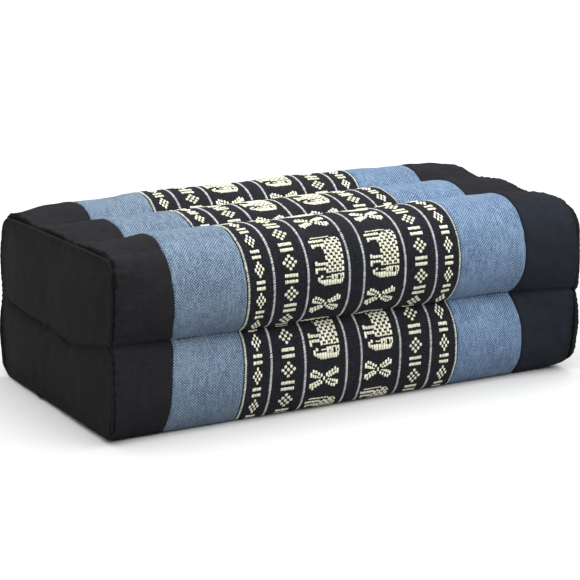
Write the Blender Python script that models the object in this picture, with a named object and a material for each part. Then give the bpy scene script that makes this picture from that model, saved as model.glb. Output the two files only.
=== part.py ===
import bpy
import bmesh
import math
import numpy as np

# A rectangular block cushion lying flat: six stuffed channels run its whole length, three across
# and two high, between sewn grooves. X runs along the length, Y across the depth, Z up, metres.
# The long side with the deeper view of the grooves faces -Y; the underside touches Z = 0.

MM = 0.001

SEAM_X = 171.5          # end seams stand at +X and -X of this
BAND_EDGE = 79.3        # half width of the brocade band
BLUE_EDGE = 130.6       # outer edge of each blue band
CLOTH = 1.2             # thickness of the three woven bands
PANEL = 1.5             # thickness of the two end panels
GAP = 0.3               # clearance between one piece and the next
WELT = 1.9              # how far the pinched end seam stands proud of the cover
WELT_WIDE = 2.6         # its width along X
DOME = 3.2              # how far the middle of an end panel swells past its seam
CREASE = 2.2            # depth of the level fold on an end panel
MID_Z = 59.0            # height of the groove along both long sides

# Sewn grooves of the cross section.
GROOVES = {
    # name          y      z
    "low_front": (-29.5, 9.0),
    "front": (-74.5, MID_Z),
    "top_front": (-29.5, 108.0),
    "top_back": (29.5, 108.0),
    "back": (75.0, MID_Z),
    "low_back": (29.5, 9.0),
}

# Outermost points of the stuffed channels.
SWELLS = {
    # name           side y, side z, crest y, crest z
    "upper_front": (-90.0, 91.5, -58.5, 122.5),
    "upper_back": (90.0, 91.0, 58.5, 121.5),
    "lower_front": (-85.5, 34.0, -67.0, 0.0),
    "lower_back": (86.0, 34.0, 67.0, 0.0),
}
FLAT_INNER = 44.0       # the outer channels touch the floor from here outward
FLAT_MIDDLE = 15.0      # half width of the middle channel's touching strip
MIDDLE_CREST = 122.0

# Corners of the two end seams, each rounded by its radius, and where the long sides pinch in.
END_CORNERS = {
    # end    front-bottom        front-top            back-top            back-bottom        (y, z, radius)
    -1: ((-85.5, 3.0, 8.0), (-90.0, 118.5, 9.0), (89.0, 113.0, 13.0), (89.5, 2.5, 12.0)),
    1: ((-88.0, 3.5, 13.0), (-89.5, 115.5, 15.0), (89.5, 115.0, 15.0), (88.5, 3.0, 13.0)),
}
END_PINCH = {
    # end    front y, front z, back y, back z
    -1: (-84.5, 63.0, 86.5, 60.0),
    1: (-85.0, 59.0, 85.5, 59.0),
}
SIDE_HUMP = 2.2         # outward swell of an end seam above and below its pinch
TOP_HUMP = 1.4          # rise of an end seam over each channel

# How the channels swell up from the end seams: reach inward and sharpness of the shoulder.
RISE = {
    # part      reach, power
    "top": (50.0, 2.0),
    "side": (44.0, 2.3),
    "floor": (30.0, 2.6),
    "groove": (92.0, 1.45),
}

# Points along each of the ten stretches of the section, groove or corner to the next.
STRETCH_POINTS = (6, 7, 8, 7, 9, 7, 8, 7, 6, 7)
# Distances inward from an end seam where the body is sectioned outside the bands.
END_STATIONS = (0.0, 3.0, 7.5, 14.0, 22.0, 31.0)
# Sections within each blue band, as distances from the middle.
BLUE_STATIONS = (121.5, 101.0)


def flank(far, groove, lead, power=2.2, reach=0.93, n=60):
    """Side of a stuffed channel, from its outermost point into a sewn groove; lead is the axis it sets off along."""
    full = 1 - (1 - reach ** power) ** (1 / power)
    out = []
    for i in range(n + 1):
        a = math.sin(0.5 * math.pi * i / n)
        drop = (1 - (1 - (reach * a) ** power) ** (1 / power)) / full
        p = [0.0, 0.0]
        p[lead] = far[lead] + (groove[lead] - far[lead]) * a
        p[1 - lead] = far[1 - lead] + (groove[1 - lead] - far[1 - lead]) * drop
        out.append(p)
    return out


def shoulder(side, crest, power=2.15, n=80):
    """Rounded shoulder from the upright tangent at the side to the level tangent at the crest or the floor."""
    a, b = side[0] - crest[0], crest[1] - side[1]
    out = []
    for i in range(n + 1):
        t = 0.5 * math.pi * i / n
        out.append([crest[0] + a * math.cos(t) ** (2 / power), side[1] + b * math.sin(t) ** (2 / power)])
    return out


def joined(*parts):
    out = []
    for p in parts:
        out += p[1:] if out else p
    return np.array(out, float)


def spaced(line, n):
    """The same line with n equal steps."""
    along = np.concatenate([[0], np.cumsum(np.linalg.norm(np.diff(line, axis=0), axis=1))])
    at = np.linspace(0, along[-1], n + 1)
    return np.stack([np.interp(at, along, line[:, k]) for k in range(2)], 1)


def halved(line, toward):
    """A line cut in two where it faces the given way."""
    line = spaced(line, 400)
    d = np.gradient(line, axis=0)
    away = np.stack([d[:, 1], -d[:, 0]], 1) / np.linalg.norm(d, axis=1)[:, None]
    i = int(np.argmax(np.abs(away @ (np.array(toward) / math.sqrt(2)))))
    return line[:i + 1], line[i:]


def channel_stretches():
    """The full section in ten stretches, from the front groove under the cushion round by the front, top and back."""
    g, s = GROOVES, SWELLS
    fs, fc = s["upper_front"][:2], s["upper_front"][2:]
    bs, bc = s["upper_back"][:2], s["upper_back"][2:]
    ls, lc = s["lower_front"][:2], s["lower_front"][2:]
    ks, kc = s["lower_back"][:2], s["lower_back"][2:]
    inner_f, inner_b = (-FLAT_INNER, 0.0), (FLAT_INNER, 0.0)
    mid_f, mid_b, crest = (-FLAT_MIDDLE, 0.0), (FLAT_MIDDLE, 0.0), (0.0, MIDDLE_CREST)
    low_f = joined(flank(inner_f, g["low_front"], 0, 2.0, 0.9)[::-1], [list(inner_f), list(lc)],
                   shoulder(ls, lc, 2.2)[::-1], flank(ls, g["front"], 1))
    up_f = joined(flank(fs, g["front"], 1)[::-1], shoulder(fs, fc), flank(fc, g["top_front"], 0))
    top = joined(flank(crest, g["top_front"], 0)[::-1], flank(crest, g["top_back"], 0))
    up_b = joined(flank(bc, g["top_back"], 0)[::-1], shoulder(bs, bc)[::-1], flank(bs, g["back"], 1))
    low_b = joined(flank(ks, g["back"], 1)[::-1], shoulder(ks, kc, 2.2), [list(kc), list(inner_b)],
                   flank(inner_b, g["low_back"], 0, 2.0, 0.9))
    floor = joined(flank(mid_b, g["low_back"], 0, 2.0, 0.9)[::-1], [list(mid_b), list(mid_f)],
                   flank(mid_f, g["low_front"], 0, 2.0, 0.9))
    a, b = halved(low_f, (-1, -1))
    c, d = halved(up_f, (-1, 1))
    e, f = halved(up_b, (1, 1))
    h, i = halved(low_b, (1, -1))
    return [a, b, c, d, top, e, f, h, i, floor]


def bowed(p, q, height, outward, n=50):
    """A seam edge from p to q with a sideways swell."""
    out = []
    for i in range(n + 1):
        t = i / n
        s = height * math.sin(math.pi * t)
        out.append([p[0] + (q[0] - p[0]) * t + outward[0] * s, p[1] + (q[1] - p[1]) * t + outward[1] * s])
    return out


def rounded(corner, start, stop, n=24):
    """Part of a rounded corner; the angles are in degrees about its centre."""
    y, z, r = corner
    cy, cz = y - math.copysign(r, y), z + (r if z < MID_Z else -r)
    return [[cy + r * math.cos(math.radians(start + (stop - start) * i / n)),
             cz + r * math.sin(math.radians(start + (stop - start) * i / n))] for i in range(n + 1)]


def seam_stretches(end):
    """The outline of one end seam in the same ten stretches."""
    fb, ft, bt, bb = END_CORNERS[end]
    fy, fz, by, bz = END_PINCH[end]
    low = lambda y: [y, fb[1] + (bb[1] - fb[1]) * (y - fb[0]) / (bb[0] - fb[0])]
    high = lambda y: [y, ft[1] + (bt[1] - ft[1]) * (y - ft[0]) / (bt[0] - ft[0])]
    g = GROOVES["top_back"][0]
    arcs = {k: (rounded(c, a, b), rounded(c, b, e)) for k, c, a, b, e in (
        ("fb", fb, 270, 225, 180), ("ft", ft, 180, 135, 90), ("bt", bt, 90, 45, 0), ("bb", bb, 0, -45, -90))}
    front, back, up, flat = (-1, 0), (1, 0), (0, 1), (0, 0)
    tail = lambda k: arcs[k][1][-1]
    head = lambda k: arcs[k][0][0]
    return [
        joined(bowed(low(-g), head("fb"), 0, flat), arcs["fb"][0]),
        joined(arcs["fb"][1], bowed(tail("fb"), [fy, fz], SIDE_HUMP, front)),
        joined(bowed([fy, fz], head("ft"), SIDE_HUMP, front), arcs["ft"][0]),
        joined(arcs["ft"][1], bowed(tail("ft"), high(-g), TOP_HUMP, up)),
        joined(bowed(high(-g), high(g), TOP_HUMP, up)),
        joined(bowed(high(g), head("bt"), TOP_HUMP, up), arcs["bt"][0]),
        joined(arcs["bt"][1], bowed(tail("bt"), [by, bz], SIDE_HUMP, back)),
        joined(bowed([by, bz], head("bb"), SIDE_HUMP, back), arcs["bb"][0]),
        joined(arcs["bb"][1], bowed(tail("bb"), low(g), 0, flat)),
        joined(bowed(low(g), low(-g), 0, flat)),
    ]


def ring_of(stretches, counts):
    return np.concatenate([spaced(s, c)[:-1] for s, c in zip(stretches, counts)])


def risen(d, reach, power):
    t = np.clip(d / reach, 0.0, 1.0)
    return (1 - (1 - t) ** power) ** (1 / power)


def eased(t):
    t = np.clip(t, 0.0, 1.0)
    return t * t * (3 - 2 * t)


FULL = ring_of(channel_stretches(), STRETCH_POINTS)
SEAM = {end: ring_of(seam_stretches(end), STRETCH_POINTS) for end in (-1, 1)}
COUNT = len(FULL)


def section(x):
    """Outline of the cover at x, as COUNT rows of y and z."""
    end = -1 if x < 0 else 1
    d = SEAM_X - abs(x)
    up = eased((FULL[:, 1] - 80) / 30)
    down = eased((14 - FULL[:, 1]) / 12)
    w = risen(d, *RISE["side"]) * (1 - up - down) + risen(d, *RISE["top"]) * up + risen(d, *RISE["floor"]) * down
    near = np.linalg.norm(FULL - np.array(GROOVES["front"]), axis=1)
    fold = eased(1 - near / 16.0) * (1.0 if end < 0 else 0.35)
    w = w * (1 - fold) + (1 - (1 - np.clip(d / RISE["groove"][0], 0, 1)) ** RISE["groove"][1]) * fold
    return SEAM[end] * (1 - w[:, None]) + FULL * w[:, None]


def inset(ring, depth):
    """A ring moved inward by depth, square to its edges, or outward where depth is negative."""
    d = np.roll(ring, -1, axis=0) - ring
    out = np.stack([-d[:, 1], d[:, 0]], 1) / np.linalg.norm(d, axis=1)[:, None]
    before = np.roll(out, 1, axis=0)
    both = before + out
    if depth < 0:
        return ring - both / np.linalg.norm(both, axis=1)[:, None] * depth
    return ring - both / np.maximum(0.25, 1 + (before * out).sum(axis=1))[:, None] * depth


def placed(x, ring):
    x = np.broadcast_to(np.asarray(x, float), (len(ring),))
    return np.column_stack([x, ring[:, 0], ring[:, 1]])


def solid(name, rings, closed, material):
    """A skin through the rings in order; closed joins the last ring to the first, otherwise each end is capped at a point."""
    bm = bmesh.new()
    rows = [([bm.verts.new(p * MM) for p in ring], abs(ring[:, 0]).mean()) for ring in rings]
    for (a, xa), (b, xb) in list(zip(rows[:-1], rows[1:])) + ([(rows[-1], rows[0])] if closed else []):
        for k in range(COUNT):
            j = (k + 1) % COUNT
            if xa < xb:
                bm.faces.new((a[k], a[j], b[j]))
                bm.faces.new((a[k], b[j], b[k]))
            else:
                bm.faces.new((a[k], a[j], b[k]))
                bm.faces.new((a[j], b[j], b[k]))
    if not closed:
        for row, ring in ((rows[0][0], rings[0]), (rows[-1][0], rings[-1])):
            tip = bm.verts.new(ring.mean(axis=0) * MM)
            for k in range(COUNT):
                bm.faces.new((row[k], row[(k + 1) % COUNT], tip))
    bmesh.ops.recalc_face_normals(bm, faces=bm.faces[:])
    mesh = bpy.data.meshes.new(name)
    bm.to_mesh(mesh)
    bm.free()
    mesh.materials.append(material)
    obj = bpy.data.objects.new(name, mesh)
    bpy.context.collection.objects.link(obj)
    return obj


def cloth(name, color, roughness):
    m = bpy.data.materials.new(name)
    m.use_nodes = True
    p = m.node_tree.nodes["Principled BSDF"]
    p.inputs["Base Color"].default_value = (*color, 1.0)
    p.inputs["Roughness"].default_value = roughness
    p.inputs["Metallic"].default_value = 0.0
    return m


def end_face(end, shrink, out):
    """One ring on the domed face of an end: shrink 1 is the seam, 0 the middle; out is how far past the seam it stands."""
    middle = np.array([0.0, MID_Z])
    ring = middle + (SEAM[end] - middle) * shrink
    swell = DOME * (1 - shrink ** 3)
    spoke = np.zeros(COUNT)
    for groove in ("front", "back"):
        k = int(np.argmin(np.linalg.norm(FULL - np.array(GROOVES[groove]), axis=1)))
        spoke[k] = 1.0
    x = end * (SEAM_X + out + swell - CREASE * spoke * math.sin(math.pi * min(1.0, 1.15 * shrink)) * (shrink > 0.2))
    return placed(x, ring)


def sleeve(name, x0, x1, stations, material):
    """A woven band wrapped round the girth between x0 and x1."""
    xs = [x0] + [s for s in stations if x0 < s < x1] + [x1]
    outer = [placed(x, section(x)) for x in xs]
    inner = [placed(x, inset(section(x), CLOTH)) for x in reversed(xs)]
    return solid(name, outer + inner, True, material)


def body(material):
    """The stuffed block: bare at both ends, sunk under the three bands by their thickness and the clearance."""
    step = BLUE_EDGE + GAP
    sunk = CLOTH + GAP
    bare = [SEAM_X - GAP - s for s in END_STATIONS] + [step]
    under = [step, *BLUE_STATIONS, BAND_EDGE]
    rings = [end_face(-1, r, -2 * GAP) for r in (0.3, 0.68)]
    rings += [placed(-x, section(-x)) for x in bare]
    rings += [placed(-x, inset(section(-x), sunk)) for x in under]
    rings += [placed(x, inset(section(x), sunk)) for x in reversed(under)]
    rings += [placed(x, section(x)) for x in reversed(bare)]
    rings += [end_face(1, r, -2 * GAP) for r in (0.68, 0.3)]
    return solid("cushion_body", rings, False, material)


def end_panel(name, end, material):
    """An end panel with the pinched seam that stands up all round it."""
    rim = placed(end * (SEAM_X + GAP), inset(SEAM[end], -0.4 * WELT))
    lip = placed(end * (SEAM_X + GAP + 0.5 * WELT_WIDE), inset(SEAM[end], -WELT))
    edge = placed(end * (SEAM_X + GAP + WELT_WIDE), inset(SEAM[end], -0.3 * WELT))
    outer = [end_face(end, r, GAP + o) for r, o in ((0.955, 0.55 * PANEL), (0.86, PANEL), (0.68, PANEL), (0.3, PANEL))]
    inner = [end_face(end, r, 0.0) for r in (0.3, 0.68, 0.86)]
    return solid(name, inner + [rim, lip, edge] + outer, False, material)


for old in list(bpy.data.objects):
    bpy.data.objects.remove(old, do_unlink=True)

body(cloth("black_cotton", (0.019, 0.019, 0.022), 0.9))
sleeve("brocade_panel", -BAND_EDGE, BAND_EDGE, (), cloth("brocade", (0.17, 0.18, 0.17), 0.85))
sleeve("blue_panel_left", -BLUE_EDGE, -BAND_EDGE - GAP, [-x for x in BLUE_STATIONS], cloth("blue_cotton_left", (0.155, 0.28, 0.47), 0.9))
sleeve("blue_panel_right", BAND_EDGE + GAP, BLUE_EDGE, BLUE_STATIONS[::-1], cloth("blue_cotton_right", (0.155, 0.28, 0.47), 0.9))
end_panel("end_panel_left", -1, cloth("black_cotton_left", (0.019, 0.019, 0.022), 0.9))
end_panel("end_panel_right", 1, cloth("black_cotton_right", (0.019, 0.019, 0.022), 0.9))
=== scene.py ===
import bpy
import bmesh
import math
import numpy as np
from mathutils import Matrix, Vector


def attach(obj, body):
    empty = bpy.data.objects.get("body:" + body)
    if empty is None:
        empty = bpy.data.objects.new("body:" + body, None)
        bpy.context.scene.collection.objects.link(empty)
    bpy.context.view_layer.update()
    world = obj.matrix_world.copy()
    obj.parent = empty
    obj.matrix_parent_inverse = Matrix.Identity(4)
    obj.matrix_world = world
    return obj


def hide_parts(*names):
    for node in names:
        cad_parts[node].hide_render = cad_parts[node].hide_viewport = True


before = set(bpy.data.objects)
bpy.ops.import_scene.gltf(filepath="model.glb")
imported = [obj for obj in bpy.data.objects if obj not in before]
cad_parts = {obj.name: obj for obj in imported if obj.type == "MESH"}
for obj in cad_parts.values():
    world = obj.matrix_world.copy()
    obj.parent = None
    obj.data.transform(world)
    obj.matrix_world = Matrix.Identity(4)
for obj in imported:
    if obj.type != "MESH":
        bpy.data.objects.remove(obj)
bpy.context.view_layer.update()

# ------------------------------------------------------------------ sizes, in millimetres
MM = 0.001
SEAM_X = 171.5
BAND_EDGE = 79.3
BLUE_EDGE = 130.6
GAP = 0.3
DOME = 3.0
MID_Z = 59.0
DEPTH = 0.9             # cloth thickness of the woven bands
SUNK = 1.5              # how far the stuffed block lies under them

GROOVES = {
    # name          y      z
    "low_front": (-29.5, 9.0),
    "front": (-74.5, MID_Z),
    "top_front": (-29.5, 108.0),
    "top_back": (29.5, 108.0),
    "back": (75.0, MID_Z),
    "low_back": (29.5, 9.0),
}
SWELLS = {
    # name           side y, side z, crest y, crest z
    "upper_front": (-90.0, 91.5, -58.5, 122.5),
    "upper_back": (90.0, 91.0, 58.5, 121.5),
    "lower_front": (-85.8, 33.0, -71.0, 0.0),
    "lower_back": (86.0, 34.0, 69.0, 0.0),
}
FLAT_INNER = 44.0
FLAT_MIDDLE = 15.0
MIDDLE_CREST = 121.4
END_CORNERS = {
    # end    front-bottom        front-top            back-top            back-bottom        (y, z, radius)
    -1: ((-85.5, 4.0, 8.0), (-90.0, 118.5, 9.0), (89.0, 113.5, 16.0), (92.5, 0.8, 10.0)),
    1: ((-91.0, 5.2, 15.0), (-91.5, 115.5, 19.0), (89.5, 115.0, 15.0), (88.5, 3.0, 13.0)),
}
END_PINCH = {
    # end    front y, front z, back y, back z
    -1: (-84.5, 63.0, 91.0, 60.0),
    1: (-90.0, 59.0, 85.5, 59.0),
}
SIDE_HUMP = 2.2
TOP_HUMP = {
    # end  front, middle, back channel
    -1: (0.4, 0.4, 0.4),
    1: (0.2, 1.8, 2.0),
}
RISE = {
    # part      reach, power
    "top": (50.0, 2.0),
    "side": (44.0, 2.3),
    "floor": (30.0, 2.6),
    "groove": (92.0, 1.45),
}
STRETCH_POINTS = tuple(6 * n for n in (6, 7, 8, 7, 9, 7, 8, 7, 6, 7))


# ------------------------------------------------------------------ the stuffed form
def flank(far, groove, lead, power=2.2, reach=0.972, n=90):
    full = 1 - (1 - reach ** power) ** (1 / power)
    out = []
    for i in range(n + 1):
        a = math.sin(0.5 * math.pi * i / n)
        drop = (1 - (1 - (reach * a) ** power) ** (1 / power)) / full
        p = [0.0, 0.0]
        p[lead] = far[lead] + (groove[lead] - far[lead]) * a
        p[1 - lead] = far[1 - lead] + (groove[1 - lead] - far[1 - lead]) * drop
        out.append(p)
    return out


def shoulder(side, crest, power=2.15, n=80):
    a, b = side[0] - crest[0], crest[1] - side[1]
    out = []
    for i in range(n + 1):
        t = 0.5 * math.pi * i / n
        out.append([crest[0] + a * math.cos(t) ** (2 / power), side[1] + b * math.sin(t) ** (2 / power)])
    return out


def joined(*parts):
    out = []
    for p in parts:
        out += p[1:] if out else p
    return np.array(out, float)


def spaced(line, n):
    along = np.concatenate([[0], np.cumsum(np.linalg.norm(np.diff(line, axis=0), axis=1))])
    at = np.linspace(0, along[-1], n + 1)
    return np.stack([np.interp(at, along, line[:, k]) for k in range(2)], 1)


def halved(line, toward):
    line = spaced(line, 400)
    d = np.gradient(line, axis=0)
    away = np.stack([d[:, 1], -d[:, 0]], 1) / np.linalg.norm(d, axis=1)[:, None]
    i = int(np.argmax(np.abs(away @ (np.array(toward) / math.sqrt(2)))))
    return line[:i + 1], line[i:]


def channel_stretches():
    g, s = GROOVES, SWELLS
    fs, fc = s["upper_front"][:2], s["upper_front"][2:]
    bs, bc = s["upper_back"][:2], s["upper_back"][2:]
    ls, lc = s["lower_front"][:2], s["lower_front"][2:]
    ks, kc = s["lower_back"][:2], s["lower_back"][2:]
    inner_f, inner_b = (-FLAT_INNER, 0.0), (FLAT_INNER, 0.0)
    mid_f, mid_b, crest = (-FLAT_MIDDLE, 0.0), (FLAT_MIDDLE, 0.0), (0.0, MIDDLE_CREST)
    low_f = joined(flank(inner_f, g["low_front"], 0, 2.0, 0.93)[::-1], [list(inner_f), list(lc)],
                   shoulder(ls, lc, 2.2)[::-1], flank(ls, g["front"], 1))
    up_f = joined(flank(fs, g["front"], 1)[::-1], shoulder(fs, fc), flank(fc, g["top_front"], 0))
    top = joined(flank(crest, g["top_front"], 0)[::-1], flank(crest, g["top_back"], 0))
    up_b = joined(flank(bc, g["top_back"], 0)[::-1], shoulder(bs, bc)[::-1], flank(bs, g["back"], 1))
    low_b = joined(flank(ks, g["back"], 1)[::-1], shoulder(ks, kc, 2.2), [list(kc), list(inner_b)],
                   flank(inner_b, g["low_back"], 0, 2.0, 0.93))
    floor = joined(flank(mid_b, g["low_back"], 0, 2.0, 0.93)[::-1], [list(mid_b), list(mid_f)],
                   flank(mid_f, g["low_front"], 0, 2.0, 0.93))
    a, b = halved(low_f, (-1, -1))
    c, d = halved(up_f, (-1, 1))
    e, f = halved(up_b, (1, 1))
    h, i = halved(low_b, (1, -1))
    return [a, b, c, d, top, e, f, h, i, floor]


def bowed(p, q, height, outward, n=50):
    out = []
    for i in range(n + 1):
        t = i / n
        s = height * math.sin(math.pi * t)
        out.append([p[0] + (q[0] - p[0]) * t + outward[0] * s, p[1] + (q[1] - p[1]) * t + outward[1] * s])
    return out


def rounded(corner, start, stop, n=24):
    y, z, r = corner
    cy, cz = y - math.copysign(r, y), z + (r if z < MID_Z else -r)
    return [[cy + r * math.cos(math.radians(start + (stop - start) * i / n)),
             cz + r * math.sin(math.radians(start + (stop - start) * i / n))] for i in range(n + 1)]


def seam_stretches(end):
    fb, ft, bt, bb = END_CORNERS[end]
    fy, fz, by, bz = END_PINCH[end]
    low = lambda y: [y, fb[1] + (bb[1] - fb[1]) * (y - fb[0]) / (bb[0] - fb[0])]
    high = lambda y: [y, ft[1] + (bt[1] - ft[1]) * (y - ft[0]) / (bt[0] - ft[0])]
    g = GROOVES["top_back"][0]
    arcs = {k: (rounded(c, a, b), rounded(c, b, e)) for k, c, a, b, e in (
        ("fb", fb, 270, 225, 180), ("ft", ft, 180, 135, 90), ("bt", bt, 90, 45, 0), ("bb", bb, 0, -45, -90))}
    front, back, up, flat = (-1, 0), (1, 0), (0, 1), (0, 0)
    tail = lambda k: arcs[k][1][-1]
    head = lambda k: arcs[k][0][0]
    return [
        joined(bowed(low(-g), head("fb"), 0, flat), arcs["fb"][0]),
        joined(arcs["fb"][1], bowed(tail("fb"), [fy, fz], SIDE_HUMP, front)),
        joined(bowed([fy, fz], head("ft"), SIDE_HUMP, front), arcs["ft"][0]),
        joined(arcs["ft"][1], bowed(tail("ft"), high(-g), TOP_HUMP[end][0], up)),
        joined(bowed(high(-g), high(g), TOP_HUMP[end][1], up)),
        joined(bowed(high(g), head("bt"), TOP_HUMP[end][2], up), arcs["bt"][0]),
        joined(arcs["bt"][1], bowed(tail("bt"), [by, bz], SIDE_HUMP, back)),
        joined(bowed([by, bz], head("bb"), SIDE_HUMP, back), arcs["bb"][0]),
        joined(arcs["bb"][1], bowed(tail("bb"), low(g), 0, flat)),
        joined(bowed(low(g), low(-g), 0, flat)),
    ]


def ring_of(stretches, counts):
    return np.concatenate([spaced(s, c)[:-1] for s, c in zip(stretches, counts)])


def risen(d, reach, power):
    t = np.clip(d / reach, 0.0, 1.0)
    return (1 - (1 - t) ** power) ** (1 / power)


def eased(t):
    t = np.clip(t, 0.0, 1.0)
    return t * t * (3 - 2 * t)


class Form:
    """The cover's form on rings with a given number of points."""

    def __init__(self, counts):
        self.full = ring_of(channel_stretches(), counts)
        self.seam = {end: ring_of(seam_stretches(end), counts) for end in (-1, 1)}
        self.n = len(self.full)
        f = self.full
        self.up = eased((f[:, 1] - 80) / 30)
        self.down = eased((14 - f[:, 1]) / 12)
        near = np.linalg.norm(f - np.array(GROOVES["front"]), axis=1)
        self.fold = eased(1 - near / 16.0)
        # where the full section lies inside the end seam, the cover leaves the seam slowly
        self.inward = {}
        for end, ring in self.seam.items():
            d = np.roll(ring, -1, axis=0) - np.roll(ring, 1, axis=0)
            n = np.stack([d[:, 1], -d[:, 0]], 1) / np.linalg.norm(d, axis=1)[:, None]
            n = n * np.sign(((ring - [0.0, MID_Z]) * n).sum(1).mean())
            self.inward[end] = eased(-((f - ring) * n).sum(1) / 3.0) * eased((f[:, 1] - 30) / 30)
        closed = np.vstack([f, f[:1]])
        self.s = np.concatenate([[0], np.cumsum(np.linalg.norm(np.diff(closed, axis=0), axis=1))])
        marks = np.concatenate([[0], np.cumsum(counts)])
        self.groove_at = {"low_front": marks[0], "front": marks[2], "top_front": marks[4], "top_back": marks[5],
                          "back": marks[7], "low_back": marks[9]}

    def section(self, x):
        """The ring at station x, or at a station of its own for each girth point."""
        x = np.asarray(x, float)
        x = x[..., None] * np.ones(self.n) if x.ndim == 0 else x
        left = x < 0
        d = np.maximum(0.0, SEAM_X - np.abs(x))
        w = (risen(d, *RISE["side"]) * (1 - self.up - self.down) + risen(d, *RISE["top"]) * self.up
             + risen(d, *RISE["floor"]) * self.down)
        inward = np.where(left, self.inward[-1], self.inward[1])
        w = w * (1 - inward) + eased((d - 1.0) / 58.0) * inward
        fold = self.fold * np.where(left, 1.0, 0.35)
        w = w * (1 - fold) + (1 - (1 - np.clip(d / RISE["groove"][0], 0, 1)) ** RISE["groove"][1]) * fold
        seam = np.where(left[..., None], self.seam[-1], self.seam[1])
        return seam * (1 - w[..., None]) + self.full * w[..., None]

    def groove_distance(self):
        """Distance along the girth to the nearest sewn groove."""
        total = self.s[-1]
        out = np.full(self.n, 1e9)
        for k in self.groove_at.values():
            d = np.abs(self.s[:-1] - self.s[k])
            out = np.minimum(out, np.minimum(d, total - d))
        return out


FINE = Form(STRETCH_POINTS)
GIRTH = FINE.s[-1]
COUNT = FINE.n


# ------------------------------------------------------------------ smooth seeded unevenness
def waves(seed, count, shortest, longest):
    rng = np.random.default_rng(seed)
    lam = rng.uniform(shortest, longest, count)
    ang = rng.uniform(0, 2 * math.pi, count)
    return np.stack([2 * math.pi / lam * np.cos(ang), 2 * math.pi / lam * np.sin(ang), rng.uniform(0, 2 * math.pi, count)], 1)


def uneven(table, a, b):
    """Sum of long waves over two coordinates in millimetres, about -1 to 1."""
    out = 0.0
    for ka, kb, ph in table:
        out = out + np.sin(ka * a + kb * b + ph)
    return out / math.sqrt(len(table)) * 0.7


def gathers(seed, at, pitch, count):
    """Puckers of uneven width and strength along a seam, 0 to 1."""
    rng = np.random.default_rng(seed)
    steps = rng.uniform(0.6, 1.5, count) * pitch
    posts = np.cumsum(steps)
    strength = rng.uniform(0.25, 1.0, count)
    span = posts[-1]
    at = np.mod(at - posts[0], span) + posts[0]
    i = np.clip(np.searchsorted(posts, at) - 1, 0, count - 2)
    t = (at - posts[i]) / (posts[i + 1] - posts[i])
    return np.sin(math.pi * t) ** 2 * (strength[i] * (1 - t) + strength[i + 1] * t)


def calm(seed, at):
    """Where along a seam the puckers are strong, 0.25 to 1."""
    w = waves(seed, 5, 40, 110)
    return 0.25 + 0.75 * eased(0.5 + 0.8 * uneven(w, at, 0 * at))


def tugged(end, seed, s):
    """As calm, but the left end's front seam and top seam pucker the most."""
    w = calm(seed, s)
    return np.maximum(w, np.exp(-((s - 168.0) / 50.0) ** 4)) if end < 0 else w


BROAD = waves(3, 9, 45, 130)
MEDIUM = waves(5, 12, 14, 34)
CREASES = waves(6, 9, 9, 20)


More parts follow.
